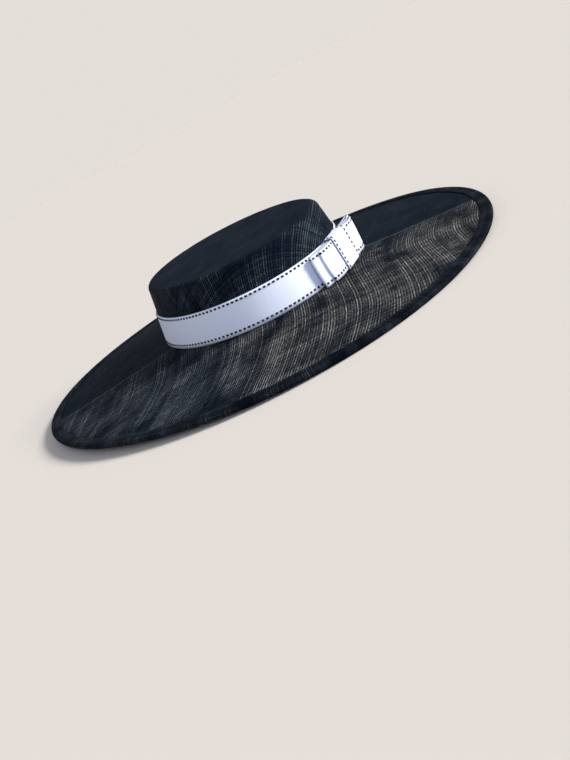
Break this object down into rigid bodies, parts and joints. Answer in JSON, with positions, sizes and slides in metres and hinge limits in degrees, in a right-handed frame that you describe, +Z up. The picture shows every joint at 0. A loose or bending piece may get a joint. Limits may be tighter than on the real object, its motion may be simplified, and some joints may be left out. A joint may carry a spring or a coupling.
{
  "type": "wide-brimmed straw boater hat",
  "caption": "Straw boater with a shallow flat-topped oval crown, a wide sloping round brim with a bound edge, a ribbon band and a flat tailored bow at the side.",
  "frame": {"origin": "under the middle of the brim, on the surface that the hat rests on", "axes": "+Z up through the crown, -Y towards the front of the hat, +X towards the wearer's left, where the bow is"},
  "size_m": [0.4, 0.4, 0.0649],
  "materials": {
    "straw": "open weave of thin black straw threads, slightly glossy, seen through",
    "straw_binding": "black straw strip folded over the brim's edge, close weave",
    "ribbon": "white grosgrain with black saddle stitches along both edges"
  },
  "bodies": {
    "root": {"crown": "straw", "brim": "straw", "brim_binding": "straw_binding", "hatband": "ribbon", "bow_long_loops": "ribbon", "bow_short_loops": "ribbon", "bow_wrap": "ribbon"}
  },
  "joints": []
}
